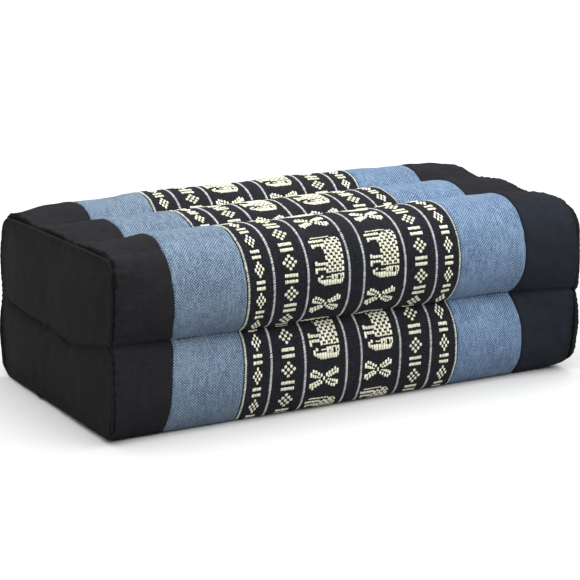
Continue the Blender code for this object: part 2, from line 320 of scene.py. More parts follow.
# ------------------------------------------------------------------ simulated settling of the stuffed cover
def settle():
    """Pressure from the stuffing against the sewn grooves and seams; returns how far each point of a coarse form moves."""
    counts = tuple(2 * n for n in (6, 7, 8, 7, 9, 7, 8, 7, 6, 7))
    form = Form(counts)
    inner = np.linspace(-SEAM_X + 6, SEAM_X - 6, 66)
    xs = np.concatenate([[-SEAM_X, -SEAM_X + 2.5], inner, [SEAM_X - 2.5, SEAM_X]])
    rows = []
    for r in (0.1, 0.3, 0.5, 0.68, 0.82, 0.92):
        rows.append(("cap", -1, r))
    rows += [("x", x, 0) for x in xs]
    for r in (0.92, 0.82, 0.68, 0.5, 0.3, 0.1):
        rows.append(("cap", 1, r))
    mid = np.array([0.0, MID_Z])
    points, pinned = [], []
    gd = form.groove_distance()
    for kind, v, r in rows:
        if kind == "x":
            ring = form.section(v)
            p = np.column_stack([np.full(form.n, v), ring])
            pin = (gd < 0.5) | (ring[:, 1] < 0.6)
            if abs(v) > SEAM_X - 0.1:
                pin[:] = True
        else:
            ring = mid + (form.seam[v] - mid) * r
            p = np.column_stack([np.full(form.n, v * (SEAM_X + DOME * (1 - r ** 3))), ring])
            pin = np.zeros(form.n, bool)
        points.append(p)
        pinned.append(pin)
    P = np.array(points)
    rng = np.random.default_rng(11)
    start = P + rng.normal(0, 0.12, P.shape) * (~np.array(pinned))[:, :, None]
    nr, n = P.shape[:2]
    verts = start.reshape(-1, 3)
    faces = []
    for i in range(nr - 1):
        for k in range(n):
            j = (k + 1) % n
            faces.append((i * n + k, i * n + j, (i + 1) * n + j, (i + 1) * n + k))
    verts = np.vstack([verts, [start[0].mean(0)], [start[-1].mean(0)]])
    a, b = nr * n, nr * n + 1
    for k in range(n):
        j = (k + 1) % n
        faces.append((a, j, k))
        faces.append((b, (nr - 1) * n + k, (nr - 1) * n + j))
    mesh = bpy.data.meshes.new("settling")
    # worked at ten times size, where the solver is steady
    mesh.from_pydata([tuple(v * MM * 10) for v in verts], [], faces)
    bm = bmesh.new()
    bm.from_mesh(mesh)
    bmesh.ops.recalc_face_normals(bm, faces=bm.faces[:])
    bm.to_mesh(mesh)
    bm.free()
    obj = bpy.data.objects.new("settling", mesh)
    bpy.context.scene.collection.objects.link(obj)
    group = obj.vertex_groups.new(name="sewn")
    group.add([int(i) for i in np.nonzero(np.array(pinned).reshape(-1))[0]], 1.0, "REPLACE")
    mod = obj.modifiers.new("Cloth", "CLOTH")
    c = mod.settings
    c.quality = 6
    c.mass = 0.4
    c.tension_stiffness = 60
    c.compression_stiffness = 60
    c.shear_stiffness = 20
    c.bending_stiffness = 3.0
    c.use_pressure = True
    c.uniform_pressure_force = 4.0
    c.vertex_group_mass = "sewn"
    c.shrink_min = -0.004
    c.effector_weights.gravity = 0.0
    mod.collision_settings.use_collision = False
    scene = bpy.context.scene
    for f in range(1, 21):
        scene.frame_set(f)
    deps = bpy.context.evaluated_depsgraph_get()
    done = obj.evaluated_get(deps)
    out = np.empty(len(done.data.vertices) * 3)
    done.data.vertices.foreach_get("co", out)
    moved = (out.reshape(-1, 3) / (MM * 10))[:nr * n].reshape(nr, n, 3) - P
    scene.frame_set(1)
    bpy.data.objects.remove(obj, do_unlink=True)
    far = np.linalg.norm(moved, axis=2)
    cap = 1.3
    moved = moved * (np.tanh(far / cap) * cap / np.maximum(far, 1e-6))[:, :, None]
    print("settled: most", far.max().round(2), "mean", far.mean().round(2))
    return form, xs, moved


SETTLED = settle()


def settled_shift(xs, s_at):
    """The simulated shift at stations xs and girth positions s_at of the fine form."""
    if SETTLED is None:
        return np.zeros((len(xs), len(s_at), 3))
    form, sx, moved = SETTLED
    body = moved[6:-6]
    u = np.interp(s_at, FINE.s, np.arange(COUNT + 1) / 3.0)
    k = np.floor(u).astype(int)
    t = (u - k)[None, :, None]
    a, b = body[:, k % form.n], body[:, (k + 1) % form.n]
    around = a * (1 - t) + b * t
    i = np.clip(np.searchsorted(sx, xs) - 1, 0, len(sx) - 2)
    f = ((np.clip(xs, sx[0], sx[-1]) - sx[i]) / (sx[i + 1] - sx[i]))[:, None, None]
    return around[i] * (1 - f) + around[i + 1] * f


# ------------------------------------------------------------------ patches of the cover
def normals_of(P):
    """Outward normals of a closed-girth patch [stations, girth, 3]."""
    du = np.roll(P, -1, axis=1) - np.roll(P, 1, axis=1)
    dx = np.gradient(P, axis=0)
    n = np.cross(dx, du)
    n /= np.maximum(np.linalg.norm(n, axis=2), 1e-9)[:, :, None]
    return n


DRIFT_X = (-SEAM_X, -BLUE_EDGE, -BAND_EDGE, 0.0, 60.3, BAND_EDGE, BLUE_EDGE, SEAM_X)
DRIFT = (
    # girth, how far the seams between the cloths have been pulled along the length there
    (12.0, (0.0, -3.6, -3.0, 0.0, 0.0, 0.0, 1.5, 0.0)),
    (44.0, (0.0, -2.4, -2.8, 0.0, -1.8, 0.0, 1.4, 0.0)),
    (74.0, (0.0, -0.8, -2.0, 0.0, -2.3, 0.0, 0.6, 0.0)),
    (94.0, (0.0, 0.4, -1.0, -0.5, -1.9, -0.6, -0.4, 0.0)),
    (112.7, (0.0, 4.6, 1.2, -1.5, -2.2, -2.4, -5.8, 0.0)),
    (131.0, (0.0, 0.6, 0.0, -0.6, -0.8, -0.8, -1.0, 0.0)),
    (187.0, (0.0, -0.5, -1.8, -2.0, -2.2, -2.2, -1.0, 0.0)),
    (235.4, (0.0, -1.8, -4.2, -4.4, -5.3, -5.6, -3.0, 0.0)),
    (262.0, (0.0, -2.5, -5.9, -6.3, -8.0, -8.6, -4.5, 0.0)),
    (292.0, (0.0, -1.0, -5.6, -5.6, -6.7, -7.0, -4.2, 0.0)),
    (326.0, (0.0, 2.2, -4.4, -3.4, -1.9, -1.4, -3.2, 0.0)),
    (375.0, (0.0, 1.6, -2.2, -2.0, -1.1, -0.8, -1.8, 0.0)),
    (425.6, (0.0, 0.0, 0.0, 0.0, 0.0, 0.0, 0.0, 0.0)),
)


def drift(xs):
    """The pull on the seams at stations xs, for each girth point."""
    at = np.array([row[0] for row in DRIFT])
    table = np.array([row[1] for row in DRIFT])
    reach = np.arange(-18.0, 18.1, 1.5)
    weight = np.exp(-(reach / 8.0) ** 2)
    s = np.mod(FINE.s[:-1, None] + reach[None, :], GIRTH)
    columns = np.stack([(np.interp(s, at, table[:, k], period=GIRTH) * weight).sum(1) / weight.sum() for k in range(len(DRIFT_X))])
    out = np.empty((len(xs), COUNT))
    for i, x in enumerate(xs):
        k = min(max(int(np.searchsorted(DRIFT_X, x)) - 1, 0), len(DRIFT_X) - 2)
        f = min(max((x - DRIFT_X[k]) / (DRIFT_X[k + 1] - DRIFT_X[k]), 0.0), 1.0)
        out[i] = columns[k] * (1 - f) + columns[k + 1] * f
    return out


def cover(xs):
    """Surface points of the cover at stations xs, with the simulated shift and the gathers at grooves and end seams."""
    xs = np.asarray(xs, float)
    at = xs[:, None] + drift(xs)
    P = np.concatenate([at[:, :, None], FINE.section(at)], 2)
    loose = (0.3 + 0.7 * eased((np.abs(xs) - 66) / 20))[:, None, None]
    P = P + settled_shift(xs, FINE.s[:-1]) * loose
    N = normals_of(P)
    X = xs[:, None]
    S = FINE.s[None, :-1]
    low = eased((FINE.full[:, 1] - 1.0) / 8.0)[None, :]
    lift = 0.55 * uneven(BROAD, X, S) + 0.16 * uneven(MEDIUM, X, S)
    for seed, k in enumerate(FINE.groove_at.values()):
        for side in (-1, 1):
            d = side * (FINE.s[None, :-1] - FINE.s[k])
            d = np.where(d < -GIRTH / 2, d + GIRTH, np.where(d > GIRTH / 2, d - GIRTH, d))
            reach = np.where(d >= 0, np.exp(-(d / 6.5) ** 1.5) * eased(d / 1.2), 0)
            lift = lift - 0.75 * gathers(20 + 2 * seed + side, X + 400, 8.5, 90) * reach * eased((SEAM_X - 4 - np.abs(X)) / 18)
    for end in (-1, 1):
        d = SEAM_X - end * X
        w = np.where(d < 60, np.exp(-(np.clip(d, 0, 60) / 9.0) ** 1.3), 0)
        pull = gathers(50 + end, S, 9.5, 70) * calm(55 + end, S)
        lift = lift + w * (0.25 - 0.75 * pull) * eased(np.clip(d, 0, 9) / 3.0 + 0.25)
        ridge = np.exp(-((d - 2.4) / 1.1) ** 2) * np.where(d < 20, 1, 0)
        rough = 1.15 if end < 0 else 0.5
        lift = lift + ridge * (0.75 + rough * gathers(60 + end, S, 4.4, 170) * tugged(end, 65 + end, S))
        if end < 0:
            lift = lift - 1.1 * np.where(d < 60, np.exp(-((d - 5.0) / 3.4) ** 2), 0) * gathers(90, S, 7.5, 90) * tugged(end, 65 + end, S)
        valley = np.exp(-(np.clip(d, 0, 20) / 1.0) ** 2)
        lift = lift - 1.7 * valley
    # the pressed crease of the side grooves runs on to the end seams
    for k in ("front", "back"):
        crease = np.exp(-((S - FINE.s[FINE.groove_at[k]]) / 1.5) ** 2)
        lift = lift - 1.5 * crease * eased((np.abs(X) - 95) / 30)
    lift = lift + 1.5 * np.exp(-((S - FINE.s[FINE.groove_at["top_back"]] - 36.0) / 22.0) ** 2) * eased((112 - np.abs(X)) / 30)
    lift = lift + 1.7 * np.exp(-((S - FINE.s[FINE.groove_at["top_front"]] + 34.0) / 20.0) ** 2) * np.exp(-((X + 112.0) / 24.0) ** 2)
    ends = eased((np.abs(X) - BLUE_EDGE) / 8) * eased((SEAM_X - np.abs(X)) / 8)
    lift = lift + ends * (0.35 * uneven(CREASES, 0.45 * X, S) + 0.3 * uneven(MEDIUM, 0.8 * X, 1.1 * S))
    lift = lift * np.clip(low + 0.05, 0, 1)
    P = P + N * lift[:, :, None]
    # under the block the brocade stands on its raised threads
    P[:, :, 2] += 0.55 * np.exp(-np.clip(P[:, :, 2], 0, 40) / 0.8) * eased((BAND_EDGE + 5 - np.abs(X)) / 5)
    return P




def mesh_object(name, P, faces, cloth=None, smooth=True):
    mesh = bpy.data.meshes.new(name)
    P = np.asarray(P, float) * MM
    faces = [np.asarray(f, int) for f in faces if len(f)]
    loops = np.concatenate([f.reshape(-1) for f in faces])
    sizes = np.concatenate([np.full(len(f), f.shape[1]) for f in faces])
    mesh.vertices.add(len(P))
    mesh.vertices.foreach_set("co", P.reshape(-1))
    mesh.loops.add(len(loops))
    mesh.loops.foreach_set("vertex_index", loops)
    mesh.polygons.add(len(sizes))
    mesh.polygons.foreach_set("loop_start", np.concatenate([[0], np.cumsum(sizes)[:-1]]))
    mesh.polygons.foreach_set("use_smooth", np.full(len(sizes), smooth))
    mesh.update(calc_edges=True)
    if cloth is not None:
        # millimetres along the length and round the girth, per face corner
        attr = mesh.attributes.new("cloth", "FLOAT_VECTOR", "CORNER")
        attr.data.foreach_set("vector", np.concatenate([c.reshape(-1, 3) for c in cloth]).reshape(-1))
    mesh.validate()
    obj = bpy.data.objects.new(name, mesh)
    bpy.context.scene.collection.objects.link(obj)
    return obj


def quads(rows, n, start=0, wrap=True, flip=False):
    """Quads between successive rings of n points."""
    i = np.arange(rows - 1)[:, None]
    k = np.arange(n if wrap else n - 1)[None, :]
    j = (k + 1) % n
    f = np.stack([i * n + k, i * n + j, (i + 1) * n + j, (i + 1) * n + k], 2).reshape(-1, 4) + start
    return f[:, ::-1] if flip else f


def quad_cloth(xs, rows, flip=False):
    """The cloth coordinates of the same quads: station and girth position at each corner."""
    i = np.arange(rows - 1)[:, None] + 0 * np.arange(COUNT)[None, :]
    k = np.arange(COUNT)[None, :] + 0 * i
    xa, xb = xs[i], xs[i + 1]
    sa, sb = FINE.s[k], FINE.s[k + 1]
    z = np.zeros_like(xa)
    c = np.stack([np.stack([xa, sa, z], 2), np.stack([xa, sb, z], 2), np.stack([xb, sb, z], 2), np.stack([xb, sa, z], 2)], 2)
    c = c.reshape(-1, 4, 3)
    return c[:, ::-1] if flip else c


def edge_roll(d, deep=0.95, wide=1.7):
    return deep * (1 - np.clip(d / wide, 0, 1)) ** 2


def stations(x0, x1, step, edge=(0.0, 0.35, 0.8, 1.4, 2.1)):
    inner = np.linspace(x0 + 3.0, x1 - 3.0, max(2, int(round((x1 - x0 - 6) / step)) + 1))
    return np.concatenate([x0 + np.array(edge), inner, x1 - np.array(edge)[::-1]])


def sleeve(name, x0, x1, step):
    """A woven band: fine outer face, plain inner face, edges rolled under into the seams. Returns the object and its outer patch."""
    xs = stations(x0, x1, step)
    P = cover(xs)
    N = normals_of(P)
    sink = np.maximum(edge_roll(xs - x0), edge_roll(x1 - xs))
    outer = P - N * sink[:, None, None]
    pick = np.linspace(0, len(xs) - 1, 9).round().astype(int)
    inner = (P - N * (DEPTH + 0.25))[pick]
    inner[0], inner[-1] = (P - N * (DEPTH + 0.45))[[0, -1]]
    no, ni = len(xs), len(pick)
    V = np.vstack([outer.reshape(-1, 3), inner.reshape(-1, 3)])
    q_out = quads(no, COUNT, flip=True)
    q_in = quads(ni, COUNT, start=no * COUNT)
    k = np.arange(COUNT)
    j = (k + 1) % COUNT
    base = no * COUNT
    rim0 = np.stack([k, j, base + j, base + k], 1)
    o1, i1 = (no - 1) * COUNT, base + (ni - 1) * COUNT
    rim1 = np.stack([o1 + j, o1 + k, i1 + k, i1 + j], 1)
    cl = [quad_cloth(xs, no, flip=True), quad_cloth(xs[pick], ni)]
    for xx in (x0, x1):
        cl.append(np.stack([np.stack([np.full(COUNT, xx), FINE.s[:-1], np.zeros(COUNT)], 1)] * 4, 1))
    obj = mesh_object(name, V, [q_out, q_in, rim0, rim1], cl)
    return obj, (xs, outer, N)


# ------------------------------------------------------------------ end panels
def fold_line(y):
    """Height of the level fold across the left end panel."""
    return np.interp(y, [-86, -70, -45, -27, -12, 20, 66, 88], [64.0, 61.0, 55.0, 53.4, 56.6, 56.2, 56.4, 60.0])


def end_lift(end, y, z, t, s):
    """How far an end panel stands past its seam plane. t is the distance in from the seam, s runs along the seam."""
    inside = eased(t / 26.0)
    up = np.exp(-((z - 90) / 21.0) ** 2) * np.clip(1 - (np.abs(y) / 92.0) ** 3, 0, 1)
    dn = np.exp(-((z - 27) / 20.0) ** 2) * np.clip(1 - (np.abs(y) / 92.0) ** 3, 0, 1)
    out = DOME * (1 - (1 - np.clip(t / 58.0, 0, 1)) ** 2.2) + inside * (2.2 * up + 1.7 * dn)
    if end < 0:
        zc = fold_line(y)
        far = eased((y + 34) / 14) * eased((84 - y) / 16)
        near = eased((-22 - y) / 8) * 0.8
        deep, soft = 1.5 * far + near, np.where(y > -24, 0.6, 1.0)
    else:
        zc = 58.5 + 1.5 * np.sin(y / 31.0)
        far = eased((np.abs(y) - 8) / 30) * 0.8
        deep, soft = far, 0.9
    side = np.tanh((z - zc) / soft)
    over = 1.1 * np.exp(-(np.clip(z - zc, 0, 99) / 8.0) ** 1.2)
    under = -2.7 * np.exp(-(np.clip(zc - z, 0, 99) / 5.5) ** 1.1)
    out = out + deep * (0.5 * (1 + side) * over + 0.5 * (1 - side) * under)
    out = out + 0.5 * uneven(BROAD, 1.3 * y, 1.3 * z + 40 * end) + 0.2 * uneven(MEDIUM, y, z + 17 * end)
    pull = gathers(70 + end, s, 9.0, 75) * calm(75 + end, s)
    if end < 0:
        pull = np.maximum(pull, gathers(91, s, 7.5, 90) * np.exp(-((s - 150.0) / 55.0) ** 4))
    out = out + np.exp(-(t / 8.0) ** 1.3) * (0.2 - (0.9 if end < 0 else 0.6) * pull) * eased(t / 3.0)
    tall, wide, rough = (0.55, 1.0, 1.6) if end < 0 else (2.1, 1.7, 0.8)
    out = out + (tall + rough * gathers(80 + end, s, 4.4, 170) * calm(85 + end, s)) * np.exp(-((t - 1.9) / wide) ** 2)
    return out * eased(t / 1.0 + 0.15) - 0.8 * np.exp(-(t / 0.6) ** 2)


def end_panel(name, end):
    seam = FINE.seam[end]
    mid = np.array([0.0, MID_Z])
    reach = np.linalg.norm(seam - mid, axis=1)
    t_in = np.concatenate([[0.0, 0.4, 0.9, 1.4, 1.9, 2.4, 3.0, 3.7, 4.5, 5.5], np.linspace(6.8, 56.0, 40)])
    closed = np.vstack([seam, seam[:1]])
    s = np.concatenate([[0], np.cumsum(np.linalg.norm(np.diff(closed, axis=0), axis=1))])[:-1]
    d = np.roll(seam, -1, axis=0) - np.roll(seam, 1, axis=0)
    nrm = np.stack([d[:, 1], -d[:, 0]], 1)
    nrm /= np.linalg.norm(nrm, axis=1)[:, None]
    flip = np.sign(((seam - mid) * nrm).sum(1).mean())
    nrm = nrm * flip
    rows = []
    for t in t_in:
        share = t / 58.5
        ring = mid + (seam - mid) * (1 - share)
        dist = np.minimum(t * (reach / 58.5), t * 1.0 + 0 * reach) if t < 4 else t * np.minimum(reach / 58.5, 1.25)
        if t < 6:
            # close to the seam the rings keep an even distance from it
            even = seam - nrm * t
            k = eased((t - 3.0) / 3.0)
            ring = even * (1 - k) + ring * k
            dist = t + 0 * reach
        x = end * (SEAM_X + end_lift(end, ring[:, 0], ring[:, 1], dist, s))
        rows.append(np.column_stack([x, ring]))
    outer = np.array(rows)
    flare = np.exp(-((t_in - 1.2) / 1.6) ** 2)[:, None]
    tuck = 0.8 * np.exp(-(t_in / 0.55) ** 2)[:, None]
    pucker = (gathers(80 + end, s, 3.8, 190) * calm(85 + end, s))[None, :]
    outer[:, :, 1:] += nrm[None] * (flare * (0.5 + 0.4 * pucker) - tuck)[:, :, None]
    pick = [0, 6, 12, 20, 30, 40, 49]
    inner = outer[pick].copy()
    inner[:, :, 0] -= end * 1.3
    inner[0, :, 0] = end * (SEAM_X - 0.5)
    inner[0, :, 1:] = seam - nrm * 1.2
    inner[1, :, 0] = end * (SEAM_X - 0.2)
    no, ni = len(outer), len(inner)
    V = np.vstack([outer.reshape(-1, 3), inner.reshape(-1, 3), [outer[-1].mean(0)], [inner[-1].mean(0)]])
    tip_o, tip_i = len(V) - 2, len(V) - 1
    k = np.arange(COUNT)
    j = (k + 1) % COUNT
    base = no * COUNT
    f_out = quads(no, COUNT)
    f_in = quads(ni, COUNT, start=base)[:, ::-1]
    rim = np.stack([j, k, base + k, base + j], 1)
    lo, li = (no - 1) * COUNT, base + (ni - 1) * COUNT
    cap_o = np.stack([np.full(COUNT, tip_o), lo + k, lo + j], 1)
    cap_i = np.stack([np.full(COUNT, tip_i), li + j, li + k], 1)
    parts = [f_out, f_in, rim, cap_o, cap_i]
    if end > 0:
        parts = [f[:, ::-1] for f in parts]
    cl = [np.stack([V[f][:, :, 1], V[f][:, :, 2], np.zeros(f.shape)], 2) for f in parts]
    obj = mesh_object(name, V, parts, cl)
    return obj


# ------------------------------------------------------------------ the stuffed block
def block():
    """The filled block: black cotton cover at both ends, plain and sunk under the woven bands."""
    xs = np.concatenate([[SEAM_X, SEAM_X - 0.35, SEAM_X - 0.8, SEAM_X - 1.3, SEAM_X - 1.8, SEAM_X - 2.3, SEAM_X - 2.9,
                          SEAM_X - 3.6, SEAM_X - 4.6], np.linspace(SEAM_X - 6, BLUE_EDGE + 4, 20),
                         BLUE_EDGE + GAP + np.array([2.1, 1.4, 0.8, 0.35, 0.0])])
    deep = [edge_roll(x - (BLUE_EDGE + GAP)) for x in xs]
    hidden = np.array([BLUE_EDGE + 0.2, 121.5, 101.0, BAND_EDGE, 40.0])
    left = np.concatenate([-xs, -hidden])
    all_x = np.concatenate([left, hidden[::-1], xs[::-1]])
    sink = np.concatenate([deep, np.full(len(hidden), SUNK + 0.4), np.full(len(hidden), SUNK + 0.4), deep[::-1]])
    order = np.argsort(all_x, kind="stable")
    P = cover(all_x[order])
    N = normals_of(P)
    P = P - N * sink[order][:, None, None]
    mid = np.array([0.0, MID_Z])
    caps = []
    for end in (-1, 1):
        rows = []
        for r in (0.15, 0.5, 0.8, 0.97):
            ring = mid + (FINE.seam[end] - mid) * r
            rows.append(np.column_stack([np.full(COUNT, end * (SEAM_X - 1.2 + 0.8 * DOME * (1 - r ** 3) - 0.6)), ring]))
        caps.append(rows if end < 0 else rows[::-1])
    R = np.array(caps[0] + list(P) + caps[1])
    xs_all = np.concatenate([np.full(4, -SEAM_X), all_x[order], np.full(4, SEAM_X)])
    n = len(R)
    V = np.vstack([R.reshape(-1, 3), [R[0].mean(0)], [R[-1].mean(0)]])
    k = np.arange(COUNT)
    j = (k + 1) % COUNT
    f = quads(n, COUNT, flip=True)
    cap_a = np.stack([np.full(COUNT, n * COUNT), k, j], 1)
    cap_b = np.stack([np.full(COUNT, n * COUNT + 1), (n - 1) * COUNT + j, (n - 1) * COUNT + k], 1)
    cl = [quad_cloth(xs_all, n, flip=True)] + [np.stack([V[c][:, :, 1], V[c][:, :, 2], np.zeros(c.shape)], 2) for c in (cap_a, cap_b)]
    return mesh_object("block", V, [f, cap_a, cap_b], cl)


# ------------------------------------------------------------------ raised threads on the cloth
def on_patch(patch, x, s, h):
    """Points of a patch at length x and girth s, raised by h."""
    xs, P, N = patch
    s = np.mod(s, GIRTH)
    u = np.interp(s, FINE.s, np.arange(COUNT + 1))
    k = np.floor(u).astype(int)
    t = (u - k)[..., None]
    k, k1 = k % COUNT, (k + 1) % COUNT
    i = np.clip(np.searchsorted(xs, x) - 1, 0, len(xs) - 2)
    f = np.clip((x - xs[i]) / (xs[i + 1] - xs[i]), 0, 1)[..., None]
    p = (P[i, k] * (1 - t) + P[i, k1] * t) * (1 - f) + (P[i + 1, k] * (1 - t) + P[i + 1, k1] * t) * f
    n = (N[i, k] * (1 - t) + N[i, k1] * t) * (1 - f) + (N[i + 1, k] * (1 - t) + N[i + 1, k1] * t) * f
    n /= np.maximum(np.linalg.norm(n, axis=-1), 1e-6)[..., None]
    return p + n * h[..., None]


def pads(name, patch, rows, height, across=((-0.5, -0.12), (-0.36, 0.72), (0.0, 1.0), (0.36, 0.72), (0.5, -0.12)),
         along=((0.0, 0.0, 0.72), (0.2, 0.92, 0.98), (0.8, 0.92, 0.98), (1.0, 0.0, 0.72)), seed=1):
    """Small raised floats of thread. rows holds x, s at both ends, width and slant for each."""
    rows = np.asarray(rows, float)
    rng = np.random.default_rng(seed)
    F = len(rows)
    x, s0, s1, w, slant = rows.T
    tone = rng.uniform(0, 1, F)
    x = x + rng.normal(0, 0.035, F)
    s0 = s0 + rng.normal(0, 0.11, F)
    s1 = s1 + rng.normal(0, 0.11, F)
    s1 = np.maximum(s1, s0 + 0.4)
    w = w * rng.uniform(0.84, 1.06, F)
    hh = height * rng.uniform(0.75, 1.2, F)
    A, B = len(across), len(along)
    V = np.empty((F, B, A, 3))
    C = np.empty((F, B, A, 3))
    length = s1 - s0
    ends = np.minimum(0.35, 0.3 * length)
    for b, (q, hb, wb) in enumerate(along):
        at = {0: s0, 1: s0 + ends, B - 2: s1 - ends, B - 1: s1}[b]
        for a, (c, ha) in enumerate(across):
            xx = x + c * w * wb + slant * (at - 0.5 * (s0 + s1))
            h = np.where(ha > 0, ha * hb * hh, -0.12) if hb > 0 else np.full(F, -0.12)
            V[:, b, a] = on_patch(patch, xx, at, h)
            C[:, b, a] = np.stack([c * wb + 0 * w, (at - s0) / length, tone], 1)
    b = np.arange(B - 1)[:, None]
    a = np.arange(A - 1)[None, :]
    cell = np.stack([b * A + a, b * A + a + 1, (b + 1) * A + a + 1, (b + 1) * A + a], 2).reshape(-1, 4)
    f = (cell[None] + (np.arange(F) * A * B)[:, None, None]).reshape(-1, 4)
    flat = V.reshape(-1, 3)
    c = C.reshape(-1, 3)
    n = np.cross(flat[f[0, 1]] - flat[f[0, 0]], flat[f[0, 3]] - flat[f[0, 0]])
    up = on_patch(patch, x[:1], s0[:1] + 0.1, np.ones(1))[0] - on_patch(patch, x[:1], s0[:1] + 0.1, np.zeros(1))[0]
    if n @ up < 0:
        f = f[:, ::-1]
    return mesh_object(name, flat, [f], [c[f]])


# The band's repeat, row by row down the front face; '#' is a raised cell, 'o' a dark thread crossing over.
ANIMAL = (
    "..##############.......",
    "................#####..",
    "######################.",
    "#######################",
    ".........##############",
    ".######################",
    ".######################",
    ".##.....###############",
    "........###############",
    ".........##############",
    ".........##############",
    ".........##############",
    ".........##############",
    ".........##############",
    ".........##############",
    ".........##############",
    ".##......##############",
    ".######################",
    ".######################",
    ".........##############",
    ".######################",
    ".######################",
    ".##......##############",
    ".##......##############",
    ".......................",
    ".....##......##########",
    "...####..#########oo###",
    "...##........##o##oo#o#",
    "...###############oo###",
    "....##################.",
    "......################.",
    "........#############..",
)
CROSS_LOZENGES = (
    # right of the middle, above it, half length, width; the rest of the cross is the same turned half round
    (1.9, 2.2, 1.2, 1.8), (3.9, 3.1, 1.25, 1.9), (5.9, 4.0, 1.3, 1.9), (7.8, 5.1, 1.35, 1.8), (9.7, 3.6, 1.8, 1.7),
    (3.4, 1.0, 0.8, 1.7), (5.1, 1.5, 0.9, 1.7), (6.8, 2.1, 1.0, 1.7), (8.3, 2.9, 1.1, 1.5),
    (-2.0, 2.3, 1.2, 1.8), (-4.0, 3.4, 1.2, 1.9), (-6.0, 4.6, 1.2, 1.9), (-7.9, 5.2, 1.2, 1.7), (-9.6, 3.4, 1.8, 1.8),
    (-8.0, 2.4, 1.2, 1.5), (-6.4, 1.9, 1.1, 1.6), (-4.8, 1.4, 0.8, 1.6), (-3.2, 0.8, 0.5, 1.6),
)
THREAD = 0.98           # pitch of the pattern columns along X
PICK = 1.04             # pitch of the pattern rows round the girth
ANIMAL_X = -21.8       # middle of the left column of animals; the right one is the same cloth, 41.1 mm on
ANIMAL_STEP = 41.1
CHANNELS = (
    # from groove, to groove; then, from the second groove of the lower front or the first of the others: lowest row of
    # one animal, middle of one cross, middle of one large diamond and of one small one; repeat of the animals, pitch of
    # the diamonds; stretch of the animals and of the crosses; how much further round the right-hand diamonds lie;
    # how far the animals' columns lean to the right for each millimetre round from that cross
    ("low_front", "front", -27.3, -40.3, -30.5, -31.8, 63.0, 21.8, 1.085, 1.11, 2.8, 0.0),
    ("front", "top_front", 32.2, 18.7, 29.6, 27.6, 61.0, 20.3, 0.965, 1.04, 0.0, 0.042),
    ("top_front", "top_back", 19.2, 6.8, 20.4, 19.0, 58.3, 19.6, 1.0, 1.0, 0.0, 0.0),
    ("top_back", "back", 19.9, 7.5, 17.0, 15.6, 58.3, 19.6, 1.0, 1.0, 0.0, 0.0),
    ("back", "low_back", 15.7, 3.3, 13.0, 11.4, 58.3, 19.6, 1.0, 1.0, 0.0, 0.0),
    ("low_back", None, 19.2, 6.8, 16.2, 14.8, 58.3, 19.6, 1.0, 1.0, 0.0, 0.0),
)
BAND_X = {
    # column      inner x, outer x
    "large": (36.1, 60.3),
    "small": (60.3, 79.5),
}


def chart_runs(chart, x_mid, s_bottom, thread, pick, width):
    """Floats for one motif: each upright run of raised cells in a column is one float."""
    out = []
    rows, columns = len(chart), len(chart[0])
    for c in range(columns):
        r = 0
        while r < rows:
            if chart[r][c] == "#":
                q = r
                while q + 1 < rows and chart[q + 1][c] == "#":
                    q += 1
                # the threads lie in pairs
                x = x_mid + (c - 0.5 * (columns - 1)) * thread + (0.09 if c % 2 else -0.09)
                top, low = s_bottom + (rows - r) * pick, s_bottom + (rows - 1 - q) * pick
                n = max(1, round((top - low) / 3.6))
                for m in range(n):
                    a, b = low + (top - low) * m / n, low + (top - low) * (m + 1) / n
                    out.append((x, a + 0.02, b - 0.02, width, 0.0))
                r = q + 1
            else:
                r += 1
    return out


def dotted(chart, top, bottom, first):
    """The body's dark dots: two columns wide, every fourth column, staggered from one row of dots to the next."""
    out = []
    for r, line in enumerate(chart):
        if top <= r <= bottom and r % 2 == 0:
            shift = 11 if (r // 2) % 2 else 9
            line = "".join("o" if c >= first and line[c] == "#" and (c - shift) % 4 < 2 else line[c] for c in range(len(line)))
        out.append(line)
    return out


def diamond_floats(x, at, step, rise, width):
    """Nine lozenges in a diamond with four dark holes."""
    out = []
    for i in range(-2, 3):
        for j in range(-2, 3):
            if (i + j) % 2 == 0 and abs(i) + abs(j) <= 2:
                cx, cs = x + i * step, at + j * rise
                if width > 1.6:
                    for k, reach in ((-1, 0.92), (0, 1.22), (1, 0.92)):
                        out.append((cx + k * 0.31 * width, cs - reach, cs + reach, 0.34 * width, 0.0))
                else:
                    out.append((cx, cs - 1.2, cs + 1.2, width, 0.0))
    return out


def cross_floats(x, at, stretch):
    """Two crossed bundles of lozenges."""
    out = [(x, at - 1.5, at + 1.5, 1.65, 0.0)]
    for turn in (1, -1):
        for u, v, reach, width in CROSS_LOZENGES:
            mid = at + stretch * turn * v
            out.append((x + turn * u, mid - reach, mid + reach, 0.9 * width, 0.0))
    return out


def kept(rows, a, b):
    """The floats between two grooves; those that run into a groove stop at it."""
    return [(x, max(s0, a), min(s1, b), w, slant) for x, s0, s1, w, slant in rows if min(s1, b) - max(s0, a) > 0.5]


def channel_list():
    for first, last, *places in CHANNELS:
        a = FINE.s[FINE.groove_at[first]] + 0.5
        b = (GIRTH if last is None else FINE.s[FINE.groove_at[last]]) - 0.5
        at = b + 0.5 if first == "low_front" else a - 0.5
        yield (a, b) + tuple(at + v for v in places[:4]) + tuple(places[4:])


